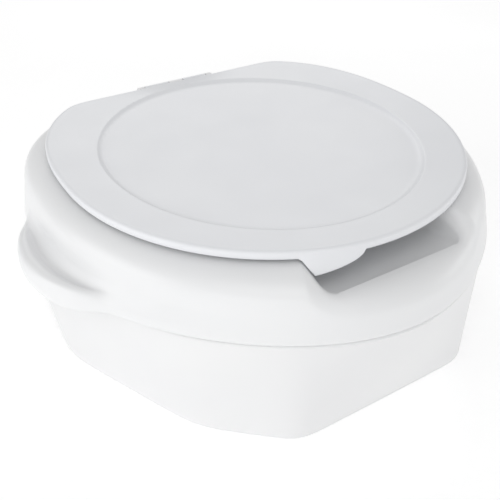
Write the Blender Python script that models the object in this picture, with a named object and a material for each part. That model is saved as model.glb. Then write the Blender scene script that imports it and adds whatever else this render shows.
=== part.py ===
"""Raised toilet seat with a hinged lid: a moulded seat shell on a moulded base skirt.

Metres, +Z up. X runs across the seat, -Y is the front, and Z = 0 is the skirt's lower edge.
The origin is the centre of the footprint. Angles round the seat start at the front (-Y) and
turn towards +X, about a centre that lies CENTRE_Y behind the origin.
"""

import math

import bmesh
import bpy
from mathutils import Matrix, Vector

# ---------------------------------------------------------------- driving dimensions
CENTRE_Y = 0.0145           # centre of the lid and of the seat opening
GAP = 0.0003                # clearance between pieces that touch

SEAM_Z = 0.0978             # joint between the base skirt and the seat shell
CREST_Z = 0.1510            # highest line of the seat surface
LID_RIM_Z = 0.1610          # upper edge of the lid's rim
DISH_EDGE_Z = 0.1580        # edge of the lid's dish; the ring outside it rises to the rim
LEDGE_Z = 0.0500            # underside of the ledge that rests on the bowl

WALL = 0.0040               # thickness of the two mouldings
STEP = 0.0018               # how far the seat shell overhangs the skirt

# seat shell outline: half width, reach to the front and to the back, squareness of each half
SHELL_HALF_WIDTH = 0.2060
SHELL_FRONT = 0.2250
SHELL_BACK = 0.1960
SHELL_FRONT_POWER = 1.86
SHELL_BACK_POWER = 2.8
SHELL_DRAFT = 0.0055        # how far the wall leans in over the upper band
SHOULDER_Z = 0.1300         # where the wall starts to roll over
CREST_SHARE = 0.52          # the crest's place between the opening and the wall
SHOULDER_POWERS = (2.3, 3.3)  # how full the rolled shoulder is, at the front and at the back

# seat opening
HOLE_HALF_WIDTH = 0.0980
HOLE_FRONT = 0.1300
HOLE_BACK = 0.1150
HOLE_ROLL = 0.0140          # drop from the crest to the edge of the opening
SPLASH_SHRINK = 0.95        # the splash wall narrows to this share of the opening
SPLASH_Z = 0.0380           # lower edge of the splash wall

# front recess: a trough with a straight lip across the front, as distances forward of the centre
RECESS_TOP_X = 0.0850       # half width between the upper edges of its flanks
RECESS_FLOOR_X = 0.0480
RECESS_ANGLE = math.radians(32.0)
RECESS_EDGE = 0.1400        # the opening reaches this far forward inside the recess
RECESS_CREST = 0.1950       # top of the lip
RECESS_CREST_Z = 0.1325
RECESS_SHOULDER_Z = 0.1165
RECESS_DROP = 0.0170        # from the top of the lip down to the opening
RECESS_BENDS = (3.0, 1.2)   # steep just behind a narrow crest, then flatter

# side grips
GRIP_CENTRE_Y = -0.0150     # from the seat's centre
GRIP_LENGTHS = (0.0740, 0.0820)         # from its centre to the front and to the back
GRIP_TAIL = (0.55, 0.1900)  # the low tail towards the front: share of the reach, and length
GRIP_REACH = 0.0240
GRIP_ENDS = (math.radians(58.0), math.radians(118.0))
# the grip's section, bottom edge first: a lip outside a shallow trough, as (share of reach, rise)
GRIP_LIP = ((0.90, -0.0070), (1.00, 0.0040), (0.93, 0.0140), (0.66, 0.0155), (0.34, 0.0115), (0.05, 0.0180))
GRIP_POINTS = len(GRIP_LIP)
GRIP_WALL = 0.0022          # the grip's lip is a thinner skin than the rest

# base skirt: the faces of its lower outline as (direction from the front, distance)
SKIRT_FACES = ((0.0, 0.2000), (41.8, 0.2072), (67.4, 0.1935), (96.0, 0.2030),
               (138.0, 0.2090), (180.0, 0.1870))
SKIRT_ROUNDING = 48.0       # higher is sharper
TONGUE = 0.0080             # height of the lip inside the seat shell
TONGUE_INSET = WALL + 0.0028
LEDGE = 0.0040              # ledge thickness
TIP_GAP = 0.0036            # between the ledge and the splash wall

# lid outline
LID_HALF_WIDTH = 0.1800
LID_FRONT = 0.1895
LID_BACK = 0.1850
LID_BACK_POWER = 2.5
LID_BACK_EDGE = 0.1570      # the straight back edge
LID_CORNER_POWER = 60.0
LID_RIM = 0.0070            # height of the rim's edge
LID_WALL = 0.0032
DISH_HALF_WIDTH = 0.1432
DISH_FRONT = 0.1575
DISH_BACK = 0.1497
DISH_STEP = 0.0026          # drop just inside the edge
DISH_DEPTH = 0.0080         # drop at the middle
TAB_X = (-0.0750, -0.0290)  # lift tab, off the centre line; it fades out towards the right
TAB_RAMP = 0.0090           # width of the tab's slanted left end
TAB_REACH = 0.0060
TAB_DROP = 0.0135

# hinge
HINGE_Y = CENTRE_Y + 0.1620
HINGE_Z = 0.1556
BARREL = 0.0042             # barrel radius
PIN = 0.0020
BORE = 0.0021
EAR_X = (0.0365, 0.0435)
KNUCKLE_X = (0.0085, 0.0360)
CENTRE_LUG_X = 0.0080
FOOT_Y = (HINGE_Y - 0.0046, HINGE_Y + 0.0050, HINGE_Y + 0.0090)  # front and back of the feet, back of the bar
FOOT_X = 0.0600             # the bracket's feet run out to here
PLATE_Z = (CREST_Z + GAP, CREST_Z + 0.0024)
HINGE_SCREW_X = 0.0520
HINGE_SCREW_Y = HINGE_Y + 0.0022

# clamps inside the bowl
CLAMP_ANGLES = {"front_left": -49.0, "front_right": 49.0, "rear_left": -136.0, "rear_right": 136.0}
CLAMP_BOLT_R = 0.1310       # distance of each clamp bolt from the seat's centre
BRACKET_WIDTH = 0.0240
BRACKET_PLATE = 0.0030
BRACKET_INNER = -0.0185     # from the bolt, along the slide
BRACKET_LEG = 0.0105
BRACKET_DROP = 0.0360
SLOT_HALF = 0.0034
BOLT = 0.0030
KNOB_R = 0.0088
KNOB_HEIGHT = 0.0120
KNOB_LOBES = 5

PAD_THICKNESS = 0.0030
RIM_PADS = {"front": (0.0, 0.1760), "left": (-90.0, 0.1640), "right": (90.0, 0.1640), "rear": (180.0, 0.1580)}
RIM_PAD_SIZE = (0.0560, 0.0260)

RIB_ANGLES = (-40.0, 40.0, -106.0, 106.0, -152.0, 152.0)
RIB_INSET = (0.0070, 0.0180, 0.0400)    # outer edge, inner edge of the arm, inner edge of the leg
RIB_HALF_WIDTH = 0.0020
BOSS_INSET = 0.0280
BOSS = 0.0048
BOSS_HEIGHT = 0.0180
SCREW = 0.0018
SCREW_HOLE = 0.0022

BUFFER_SPOTS = {"front_left": (-50.0, 0.1620), "front_right": (50.0, 0.1620),
                "rear_left": (-128.0, 0.1610), "rear_right": (128.0, 0.1610)}
BUFFER_R = 0.0065

# ---------------------------------------------------------------- resolution
HALF_STEPS = 38             # sections in half a turn
SHOULDER_STEPS = 4
ROLL_STEPS = 4
LID_STEPS = 52
TAB_STEPS = 6
ROUND = 10


# ---------------------------------------------------------------- materials
def make_material(name, colour, roughness, metallic=0.0):
    material = bpy.data.materials.new(name)
    material.use_nodes = True
    shader = material.node_tree.nodes["Principled BSDF"]
    shader.inputs["Base Color"].default_value = (*colour, 1.0)
    shader.inputs["Roughness"].default_value = roughness
    shader.inputs["Metallic"].default_value = metallic
    material.diffuse_color = (*colour, 1.0)
    return material


def clear_scene():
    for existing in list(bpy.data.objects):
        bpy.data.objects.remove(existing, do_unlink=True)


# ---------------------------------------------------------------- small maths
def mix(a, b, t):
    return a + (b - a) * t


def smooth(t):
    t = min(max(t, 0.0), 1.0)
    return t * t * (3.0 - 2.0 * t)


def polar(theta, radius, z):
    return Vector((radius * math.sin(theta), CENTRE_Y - radius * math.cos(theta), z))


def oval(theta, half_width, front, back, front_power=2.0, back_power=2.0):
    """Radius of an oval whose front and back halves reach and curve differently."""
    across, along = math.sin(theta), math.cos(theta)
    reach, power = (front, front_power) if along >= 0.0 else (back, back_power)
    return (abs(across / half_width) ** power + abs(along / reach) ** power) ** (-1.0 / power)


# ---------------------------------------------------------------- outlines
def shell_outline(theta):
    return oval(theta, SHELL_HALF_WIDTH, SHELL_FRONT, SHELL_BACK, SHELL_FRONT_POWER, SHELL_BACK_POWER)


def skirt_outline(theta):
    """Lower outline of the skirt: a many-sided figure with soft corners, alike on both sides."""
    total = 0.0
    for degrees, distance in SKIRT_FACES:
        for side in {math.radians(degrees), -math.radians(degrees)}:
            total += max(math.cos(theta - side) / distance, 0.0) ** SKIRT_ROUNDING
    return total ** (-1.0 / SKIRT_ROUNDING)


def shoulder_power(theta):
    front, back = SHOULDER_POWERS
    return mix(front, back, smooth((1.0 - math.cos(theta)) / 1.2))


def recess_weight(theta, forward):
    """How far a point is into the recess, by its distance from the middle of the seat."""
    across = abs(forward * math.tan(theta)) if math.cos(theta) > 0.5 else RECESS_TOP_X
    share = min(max((RECESS_TOP_X - across) / (RECESS_TOP_X - RECESS_FLOOR_X), 0.0), 1.0)
    return smooth(1.0 - (1.0 - share) ** 2.2)


def hole_outline(theta):
    opening = oval(theta, HOLE_HALF_WIDTH, HOLE_FRONT, HOLE_BACK)
    return mix(opening, RECESS_EDGE / math.cos(theta), recess_weight(theta, RECESS_EDGE))


def splash_outline(theta):
    return SPLASH_SHRINK * oval(theta, HOLE_HALF_WIDTH, HOLE_FRONT, HOLE_BACK)


def splash_radius(theta, z):
    """Radius of the splash wall's inner face at a height."""
    edge_z = mix(CREST_Z - HOLE_ROLL, RECESS_CREST_Z - RECESS_DROP, recess_weight(theta, RECESS_EDGE))
    return mix(splash_outline(theta), hole_outline(theta), (z - SPLASH_Z) / (edge_z - SPLASH_Z))


def grip_weight(theta):
    """Share of the grip's full reach: a rounded lobe, and a low tail that runs on towards the front."""
    along = -shell_outline(theta) * math.cos(theta) - GRIP_CENTRE_Y
    lobe = (1.0 - min(abs(along) / GRIP_LENGTHS[along > 0.0], 1.0) ** 2.2) ** 1.5
    height, length = GRIP_TAIL
    tail = height * max(1.0 + along / length, 0.0) ** 1.5 if along < 0.0 else 0.0
    return lobe + (1.0 - lobe) * tail


def lid_outline(theta):
    body = oval(theta, LID_HALF_WIDTH, LID_FRONT, LID_BACK, 2.0, LID_BACK_POWER)
    back = max(-math.cos(theta) / LID_BACK_EDGE, 0.0)
    return ((1.0 / body) ** LID_CORNER_POWER + back ** LID_CORNER_POWER) ** (-1.0 / LID_CORNER_POWER)


def dish_outline(theta):
    return oval(theta, DISH_HALF_WIDTH, DISH_FRONT, DISH_BACK)


# ---------------------------------------------------------------- sections
def seat_profile(theta, edge, crest, crest_z, shoulder_z, drop, bends):
    """Face of the seat shell over one crest, as (radius, z), from the seam to the edge of the opening.

    Behind the crest it falls by the drop, and the bends say how round that fall is.
    """
    grip, outer = grip_weight(theta), shell_outline(theta)
    base = SEAM_Z + GAP
    plain_rise = (shoulder_z - base) / (GRIP_POINTS + 1)
    bend = 2.0 / shoulder_power(theta)
    face = []
    for index, (reach, height) in enumerate(GRIP_LIP):
        plain = index * plain_rise
        rise = mix(plain, height, smooth(1.4 * grip - 0.2))
        lean = SHELL_DRAFT * plain / (SHOULDER_Z - base)
        face.append((outer - lean + GRIP_REACH * reach * grip, base + rise))
    wall = outer - SHELL_DRAFT * (shoulder_z - base) / (SHOULDER_Z - base)
    for step in range(SHOULDER_STEPS):
        turn = math.radians(90.0 * step / SHOULDER_STEPS)
        face.append((crest + (wall - crest) * math.cos(turn) ** bend,
                     shoulder_z + (crest_z - shoulder_z) * math.sin(turn) ** bend))
    for step in range(ROLL_STEPS + 1):
        turn = math.radians(90.0 * (1.0 - step / ROLL_STEPS))
        face.append((edge + (crest - edge) * (1.0 - math.cos(turn) ** bends[0]),
                     crest_z - drop * (1.0 - math.sin(turn) ** bends[1])))
    return face


def shell_face(theta):
    """Visible face of the seat shell as (radius, z), from the seam over the seat to the splash edge."""
    opening = oval(theta, HOLE_HALF_WIDTH, HOLE_FRONT, HOLE_BACK)
    crest = mix(opening, shell_outline(theta) - SHELL_DRAFT, CREST_SHARE)
    face = seat_profile(theta, opening, crest, CREST_Z, SHOULDER_Z, HOLE_ROLL, (1.0, 2.0 / shoulder_power(theta)))
    if math.cos(theta) > math.cos(RECESS_ANGLE):
        cut = seat_profile(theta, RECESS_EDGE / math.cos(theta), RECESS_CREST / math.cos(theta),
                           RECESS_CREST_Z, RECESS_SHOULDER_Z, RECESS_DROP, RECESS_BENDS)
        face = [tuple(mix(a, b, recess_weight(theta, below[0] * math.cos(theta))) for a, b in zip(above, below))
                for above, below in zip(face, cut)]
    middle_z = (face[-1][1] + SPLASH_Z) / 2.0
    face += [(splash_radius(theta, middle_z), middle_z), (splash_outline(theta), SPLASH_Z)]
    return face


def shell_thickness(theta, spot):
    """Wall thickness at a numbered point of the face: thinner round the grip's lip."""
    return mix(WALL, GRIP_WALL, smooth(4.0 * grip_weight(theta))) if spot < GRIP_POINTS else WALL


def skirt_radius(theta, z):
    return mix(skirt_outline(theta), shell_outline(theta) - STEP, z / SEAM_Z)


def ledge_tip(theta):
    """Radius of the ledge's inner edge, clear of the splash wall however that wall leans and turns."""
    top, turn = LEDGE_Z + LEDGE, math.radians(1.0)
    radius = splash_radius(theta, top)
    upward = (radius - splash_radius(theta, LEDGE_Z)) / LEDGE
    around = (splash_radius(theta + turn, top) - splash_radius(theta - turn, top)) / (2.0 * turn * radius)
    return radius + WALL * math.hypot(1.0, upward, around) + TIP_GAP


def skirt_section(theta):
    top = shell_outline(theta) - STEP
    tongue = shell_outline(theta) - TONGUE_INSET
    ledge_top = LEDGE_Z + LEDGE
    tip = ledge_tip(theta)
    return [
        (skirt_outline(theta), 0.0),
        (skirt_radius(theta, LEDGE_Z), LEDGE_Z),
        (top, SEAM_Z),
        (tongue, SEAM_Z),
        (tongue, SEAM_Z + TONGUE),
        (tongue - 0.7 * WALL, SEAM_Z + TONGUE),
        (skirt_radius(theta, SEAM_Z) - 1.7 * WALL, SEAM_Z - TONGUE),
        (skirt_radius(theta, ledge_top) - WALL, ledge_top),
        (tip, ledge_top),
        (tip, LEDGE_Z),
        (skirt_radius(theta, LEDGE_Z) - WALL, LEDGE_Z),
        (skirt_outline(theta) - WALL, 0.0),
    ]


def tab_weight(theta):
    """Share of the lift tab's full drop: slanted at its left end, then falling to nothing."""
    left, right = TAB_X
    across = lid_outline(theta) * math.sin(theta)
    if math.cos(theta) < 0.0 or not left <= across <= right:
        return 0.0
    share = (across - left) / (right - left)
    return (1.0 - share) ** 0.5 * min((across - left) / TAB_RAMP, 1.0)


def lid_top(theta):
    """Upper face of the lid from near its middle to the rim."""
    dish, rim, tab = dish_outline(theta), lid_outline(theta), tab_weight(theta)
    face = []
    for share in (0.30, 0.58, 0.80, 0.955):
        face.append((dish * share, DISH_EDGE_Z - mix(DISH_DEPTH, DISH_STEP, share ** 2)))
    face += [(dish - 0.0020, DISH_EDGE_Z - 0.5 * DISH_STEP), (dish, DISH_EDGE_Z)]
    for share in (0.35, 0.70):
        face.append((mix(dish, rim - 0.0025, share), mix(DISH_EDGE_Z, LID_RIM_Z, share ** 1.2)))
    face += [(rim - 0.0025, LID_RIM_Z), (rim - 0.0004, LID_RIM_Z - 0.0014),
             (rim + TAB_REACH * 0.6 * tab, LID_RIM_Z - 0.0040 - 0.3 * TAB_DROP * tab),
             (rim - 0.0004 + TAB_REACH * tab, LID_RIM_Z - LID_RIM + 0.0010 - TAB_DROP * tab)]
    return face


def lid_underside(theta):
    """Lower face of the lid, from the rim back to near its middle."""
    dish, rim, tab = dish_outline(theta), lid_outline(theta), tab_weight(theta)
    inside = max(rim - 0.0065, dish + 0.0020)
    face = [
        (rim - 0.0018 + TAB_REACH * tab, LID_RIM_Z - LID_RIM - TAB_DROP * tab),
        (rim - 0.0042 + 0.3 * TAB_REACH * tab, LID_RIM_Z - LID_RIM),
        (inside, LID_RIM_Z - LID_WALL),
        (dish + 0.0012, DISH_EDGE_Z - LID_WALL),
    ]
    for share in (0.95, 0.58, 0.30):
        face.append((dish * share, DISH_EDGE_Z - LID_WALL - mix(DISH_DEPTH, DISH_STEP, share ** 2)))
    return face


# ---------------------------------------------------------------- mesh builders
def finish_object(name, mesh_data, material, smooth_angle=None):
    """Turn a bmesh into a named object with its own material."""
    bmesh.ops.recalc_face_normals(mesh_data, faces=mesh_data.faces)
    mesh = bpy.data.meshes.new(name)
    mesh_data.to_mesh(mesh)
    mesh_data.free()
    mesh.materials.append(material)
    if smooth_angle is not None:
        mesh.shade_smooth()
        mesh.set_sharp_from_angle(angle=math.radians(smooth_angle))
    made = bpy.data.objects.new(name, mesh)
    bpy.context.scene.collection.objects.link(made)
    return made


def ring_angles(half_count):
    """Section angles, alike on both sides, and closer together at the recess and the grips' ends."""
    fine = math.pi / 720.0
    walk = [0.0]
    for step in range(720):
        angle = (step + 0.5) * fine
        beside_recess = angle < 1.15 * RECESS_ANGLE
        beside_grip = GRIP_ENDS[0] < angle < GRIP_ENDS[1]
        walk.append(walk[-1] + 1.0 + 4.0 * beside_recess + 0.9 * beside_grip)
    half = []
    for index in range(half_count + 1):
        wanted = walk[-1] * index / half_count
        half.append(fine * next(step for step, passed in enumerate(walk) if passed >= wanted - 1e-9))
    return half + [-angle for angle in half[-2:0:-1]]


def loft_wall(name, face, thickness, angles, material):
    """Closed wall swept round the seat: the face, and the same face set back by its thickness."""
    grid = [[polar(theta, radius, z) for radius, z in face(theta)] for theta in angles]
    last = len(grid[0]) - 1
    rows = []
    for index, (theta, row) in enumerate(zip(angles, grid)):
        after, before = grid[(index + 1) % len(grid)], grid[index - 1]
        inner = []
        for spot, point in enumerate(row):
            around = after[spot] - before[spot]
            along = row[min(spot + 1, last)] - row[max(spot - 1, 0)]
            normal = around.cross(along)
            if spot in (0, last):
                normal.z = 0.0
            inner.append(point - thickness(theta, spot) * normal.normalized())
        rows.append(row + inner[::-1])
    return skin_ring(name, rows, material)


def loft_ring(name, section, angles, material):
    """Closed solid swept round the seat from a closed section."""
    rows = [[polar(theta, radius, z) for radius, z in section(theta)] for theta in angles]
    return skin_ring(name, rows, material)


def skin_ring(name, points, material):
    """Closed ring-shaped solid through rows of points, each row a closed section.

    The first half of a row is one side of a wall and the second half its other side, so their
    triangles lean opposite ways: the two sides then stay parallel where the wall twists.
    """
    mesh_data = bmesh.new()
    rows = [[mesh_data.verts.new(point) for point in row] for row in points]
    count = len(rows[0])
    for index, row in enumerate(rows):
        following = rows[(index + 1) % len(rows)]
        for spot in range(count):
            after = (spot + 1) % count
            if 2 * spot < count:
                mesh_data.faces.new((row[spot], row[after], following[after]))
                mesh_data.faces.new((row[spot], following[after], following[spot]))
            else:
                mesh_data.faces.new((row[spot], row[after], following[spot]))
                mesh_data.faces.new((row[after], following[after], following[spot]))
    return finish_object(name, mesh_data, material, 35.0)


def lid_angles():
    """Section angles of the lid, with extra ones where the lift tab is."""
    left, right = (math.asin(x / LID_FRONT) for x in TAB_X)
    plain = [2.0 * math.pi * step / LID_STEPS - math.pi for step in range(LID_STEPS)]
    spare = math.pi / LID_STEPS
    tab = [mix(left, right, step / TAB_STEPS) for step in range(TAB_STEPS + 1) if step != 1]
    ramp = mix(left, right, TAB_RAMP / (TAB_X[1] - TAB_X[0]))
    return sorted([angle for angle in plain if not left - spare < angle < right + spare] + tab + [ramp])


def loft_lid(name, angles, material):
    """Closed lid: upper and lower faces meet at the rim, and each closes at its middle."""
    mesh_data = bmesh.new()
    rows = [[mesh_data.verts.new(polar(theta, radius, z))
             for radius, z in lid_top(theta) + lid_underside(theta)] for theta in angles]
    top = mesh_data.verts.new(polar(0.0, 0.0, DISH_EDGE_Z - DISH_DEPTH))
    bottom = mesh_data.verts.new(polar(0.0, 0.0, DISH_EDGE_Z - DISH_DEPTH - LID_WALL))
    for index, row in enumerate(rows):
        following = rows[(index + 1) % len(rows)]
        for spot in range(len(row) - 1):
            mesh_data.faces.new((row[spot], row[spot + 1], following[spot + 1], following[spot]))
        mesh_data.faces.new((top, row[0], following[0]))
        mesh_data.faces.new((bottom, following[-1], row[-1]))
    return finish_object(name, mesh_data, material, 35.0)


def add_turned(mesh_data, profile, sides=ROUND, place=Matrix.Identity(4), lobes=0, lobe_depth=0.0):
    """Add a solid turned about Z from (radius, z) pairs, optionally lobed, both ends closed."""
    rings = []
    for radius, z in profile:
        ring = []
        for step in range(sides):
            turn = 2.0 * math.pi * step / sides
            size = radius * (1.0 - lobe_depth * (0.5 - 0.5 * math.cos(lobes * turn)))
            ring.append(mesh_data.verts.new(place @ Vector((size * math.cos(turn), size * math.sin(turn), z))))
        rings.append(ring)
    for lower, upper in zip(rings, rings[1:]):
        for step in range(sides):
            after = (step + 1) % sides
            mesh_data.faces.new((lower[step], lower[after], upper[after], upper[step]))
    mesh_data.faces.new(rings[0][::-1])
    mesh_data.faces.new(rings[-1])


def add_tube(mesh_data, outline, bore, x_low, x_high, sides=24):
    """Add a tube along X about the hinge axis, its outside given as a radius for each direction."""
    rows = []
    for x in (x_low, x_high):
        outside, inside = [], []
        for step in range(sides):
            turn = 2.0 * math.pi * step / sides
            across, up = math.cos(turn), math.sin(turn)
            reach = outline(turn)
            outside.append(mesh_data.verts.new((x, HINGE_Y + reach * across, HINGE_Z + reach * up)))
            inside.append(mesh_data.verts.new((x, HINGE_Y + bore * across, HINGE_Z + bore * up)))
        rows.append((outside, inside))
    (low_out, low_in), (high_out, high_in) = rows
    for step in range(sides):
        after = (step + 1) % sides
        mesh_data.faces.new((low_out[step], low_out[after], high_out[after], high_out[step]))
        mesh_data.faces.new((low_in[after], low_in[step], high_in[step], high_in[after]))
        mesh_data.faces.new((low_out[after], low_out[step], low_in[step], low_in[after]))
        mesh_data.faces.new((high_out[step], high_out[after], high_in[after], high_in[step]))


def add_box(mesh_data, low, high, place=Matrix.Identity(4)):
    """Add a box between two corners."""
    middle = [(a + b) / 2.0 for a, b in zip(low, high)]
    size = [b - a for a, b in zip(low, high)]
    matrix = place @ Matrix.Translation(middle) @ Matrix.Diagonal((*size, 1.0))
    bmesh.ops.create_cube(mesh_data, size=1.0, matrix=matrix)


def add_cells(mesh_data, xs, ys, zs, filled):
    """Add one closed solid from the filled cells of a grid, given as (x, y, z) cell numbers."""
    corners = {}

    def corner(i, j, k):
        if (i, j, k) not in corners:
            corners[(i, j, k)] = mesh_data.verts.new((xs[i], ys[j], zs[k]))
        return corners[(i, j, k)]

    for cell in filled:
        for axis in range(3):
            for side in (0, 1):
                beside = list(cell)
                beside[axis] += 1 if side else -1
                if tuple(beside) in filled:
                    continue
                first, second = [other for other in range(3) if other != axis]
                loop = []
                for a, b in ((0, 0), (1, 0), (1, 1), (0, 1)):
                    spot = list(cell)
                    spot[axis] += side
                    spot[first] += a
                    spot[second] += b
                    loop.append(corner(*spot))
                mesh_data.faces.new(loop)


def add_bevel(made, width, segments=1):
    bevel = made.modifiers.new("edges", "BEVEL")
    bevel.width = width
    bevel.segments = segments
    bevel.limit_method = "ANGLE"
    bevel.angle_limit = math.radians(50.0)
    bevel.use_clamp_overlap = True


def join_with(made, tool, operation):
    """Combine a tool body with a piece, and leave the tool out of the model."""
    change = made.modifiers.new(operation.lower(), "BOOLEAN")
    change.operation = operation
    change.solver = "EXACT"
    change.use_self = operation == "UNION"
    change.object = tool
    tool.hide_render = True
    tool.display_type = "WIRE"


def seat_frame(degrees, radius):
    """Frame at a spot round the seat: +X points outward from the centre, +Z up."""
    theta = math.radians(degrees)
    return Matrix.Translation(polar(theta, radius, 0.0)) @ Matrix.Rotation(theta - math.pi / 2.0, 4, "Z")


# ---------------------------------------------------------------- mouldings
def rib_top(theta):
    """Height at which a rib's leg ends inside the seat shell's top."""
    outer = shell_outline(theta) - RIB_INSET[1]
    reached = [z for radius, z in shell_face(theta) if radius >= outer and z < CREST_Z + GAP]
    return max(reached) - 0.0022


def build_shell(plastic, guide):
    angles = ring_angles(HALF_STEPS)
    shell = loft_wall("seat_shell", shell_face, shell_thickness, angles, plastic)
    ribs = bmesh.new()
    for degrees in RIB_ANGLES:
        theta = math.radians(degrees)
        place = seat_frame(degrees, shell_outline(theta))
        foot = LEDGE_Z + LEDGE + GAP
        add_cells_at(ribs, place, foot + GAP, rib_top(theta))
        add_turned(ribs, [(BOSS, foot), (BOSS, foot + BOSS_HEIGHT)], ROUND,
                   place @ Matrix.Translation((-BOSS_INSET, 0.0, 0.0)))
    for side in (-1.0, 1.0):
        spot = Matrix.Translation((side * HINGE_SCREW_X, HINGE_SCREW_Y, 0.0))
        add_turned(ribs, [(BOSS, CREST_Z - 0.0150), (BOSS, CREST_Z - 0.0020)], ROUND, spot)
    join_with(shell, finish_object("shell_ribs", ribs, guide), "UNION")
    holes = bmesh.new()
    for degrees in RIB_ANGLES:
        place = seat_frame(degrees, shell_outline(math.radians(degrees)) - BOSS_INSET)
        add_turned(holes, [(SCREW_HOLE, LEDGE_Z), (SCREW_HOLE, LEDGE_Z + 0.0170)], ROUND, place)
    for side in (-1.0, 1.0):
        spot = Matrix.Translation((side * HINGE_SCREW_X, HINGE_SCREW_Y, 0.0))
        add_turned(holes, [(SCREW_HOLE, CREST_Z - 0.0120), (SCREW_HOLE, CREST_Z + 0.0100)], ROUND, spot)
    join_with(shell, finish_object("shell_holes", holes, guide), "DIFFERENCE")
    return shell


def add_cells_at(mesh_data, place, foot, top):
    """Add one load-bearing rib: an arm that meets the wall, and a leg that stands on the ledge."""
    before = set(mesh_data.verts)
    outer, middle, inner = (-inset for inset in RIB_INSET)
    arm_low, arm_high = SEAM_Z + TONGUE + 0.0010, SHOULDER_Z - 0.0060
    xs, ys, zs = (inner, middle, outer), (-RIB_HALF_WIDTH, RIB_HALF_WIDTH), (foot, arm_low, arm_high, top)
    add_cells(mesh_data, xs, ys, zs, {(0, 0, 0), (0, 0, 1), (0, 0, 2), (1, 0, 1)})
    bmesh.ops.transform(mesh_data, matrix=place, verts=[v for v in mesh_data.verts if v not in before])


def build_skirt(plastic, guide):
    skirt = loft_ring("base_skirt", skirt_section, ring_angles(HALF_STEPS), plastic)
    holes = bmesh.new()
    for degrees in RIB_ANGLES:
        place = seat_frame(degrees, shell_outline(math.radians(degrees)) - BOSS_INSET)
        add_turned(holes, [(SCREW_HOLE, LEDGE_Z - 0.0020), (SCREW_HOLE, LEDGE_Z + LEDGE + 0.0020)], ROUND, place)
    for degrees in CLAMP_ANGLES.values():
        place = seat_frame(degrees, CLAMP_BOLT_R)
        add_turned(holes, [(BOLT + GAP, LEDGE_Z - 0.0020), (BOLT + GAP, LEDGE_Z + LEDGE + 0.0020)], ROUND, place)
    join_with(skirt, finish_object("skirt_holes", holes, guide), "DIFFERENCE")
    return skirt


# ---------------------------------------------------------------- lid and hinge
def knuckle_outline(turn):
    """Lid knuckle: a round barrel with a tongue that runs forward into the lid's rim."""
    across, up = math.cos(turn), math.sin(turn)
    tongue = 0.0
    if across < -1e-6:
        tongue = min(0.0110 / -across, 0.0022 / max(abs(up), 1e-6))
    return max(BARREL, tongue)


def ear_outline(turn):
    """Bracket lug: a round barrel with a square foot that stands on the bracket's feet."""
    across, up = math.cos(turn), math.sin(turn)
    if BARREL * up > PLATE_Z[1] - HINGE_Z:
        return BARREL
    return max(min((HINGE_Z - PLATE_Z[0] - 0.0002) / -up, BARREL / max(abs(across), 1e-6)), BARREL)


def build_lid(plastic, guide):
    lid = loft_lid("lid", lid_angles(), plastic)
    knuckles = bmesh.new()
    for low, high in (KNUCKLE_X, (-KNUCKLE_X[1], -KNUCKLE_X[0])):
        add_tube(knuckles, knuckle_outline, BORE, low, high)
    join_with(lid, finish_object("lid_knuckles", knuckles, guide), "UNION")
    return lid


def build_hinge(plastic, steel, guide):
    plate = bmesh.new()
    ear = (EAR_X[0] + GAP, EAR_X[1] - GAP)
    middle = CENTRE_LUG_X - GAP
    columns = (-FOOT_X, -EAR_X[1], -ear[0], -middle, middle, ear[0], EAR_X[1], FOOT_X)
    add_cells(plate, columns, FOOT_Y, PLATE_Z,
              {(column, 1, 0) for column in range(7)} | {(column, 0, 0) for column in (0, 1, 3, 5, 6)})
    bracket = finish_object("hinge_bracket", plate, plastic)
    lugs = bmesh.new()
    for low, high in (EAR_X, (-EAR_X[1], -EAR_X[0]), (-CENTRE_LUG_X, CENTRE_LUG_X)):
        add_tube(lugs, ear_outline, BORE, low, high)
    join_with(bracket, finish_object("hinge_lugs", lugs, guide), "UNION")
    holes = bmesh.new()
    for side in (-1.0, 1.0):
        spot = Matrix.Translation((side * HINGE_SCREW_X, HINGE_SCREW_Y, 0.0))
        add_turned(holes, [(SCREW_HOLE, PLATE_Z[0] - 0.0020), (SCREW_HOLE, PLATE_Z[1] + 0.0020)], ROUND, spot)
    join_with(bracket, finish_object("bracket_holes", holes, guide), "DIFFERENCE")

    pin = bmesh.new()
    along_x = Matrix.Translation((0.0, HINGE_Y, HINGE_Z)) @ Matrix.Rotation(math.pi / 2.0, 4, "Y")
    end = EAR_X[1] + 0.0010
    add_turned(pin, [(PIN - 0.0006, -end), (PIN, -end + 0.0008), (PIN, end - 0.0008), (PIN - 0.0006, end)],
               ROUND, along_x)
    finish_object("hinge_pin", pin, steel, 35.0)

    for side, word in ((-1.0, "left"), (1.0, "right")):
        screw = bmesh.new()
        spot = Matrix.Translation((side * HINGE_SCREW_X, HINGE_SCREW_Y, 0.0))
        head = PLATE_Z[1] + GAP
        add_turned(screw, [(SCREW * 0.5, head - 0.0120), (SCREW, head - 0.0105), (SCREW, head),
                           (0.0036, head), (0.0033, head + 0.0011), (0.0020, head + 0.0017)], ROUND, spot)
        finish_object(f"hinge_screw_{word}", screw, steel, 35.0)


def lid_under_z(degrees, radius):
    """Height of the lid's lower face at a spot, for the buffers."""
    theta = math.radians(degrees)
    line = lid_underside(theta)
    for (outer, high), (inner, low) in zip(line, line[1:]):
        if inner <= radius <= outer:
            return mix(low, high, (radius - inner) / (outer - inner))
    return line[-1][1]


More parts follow.
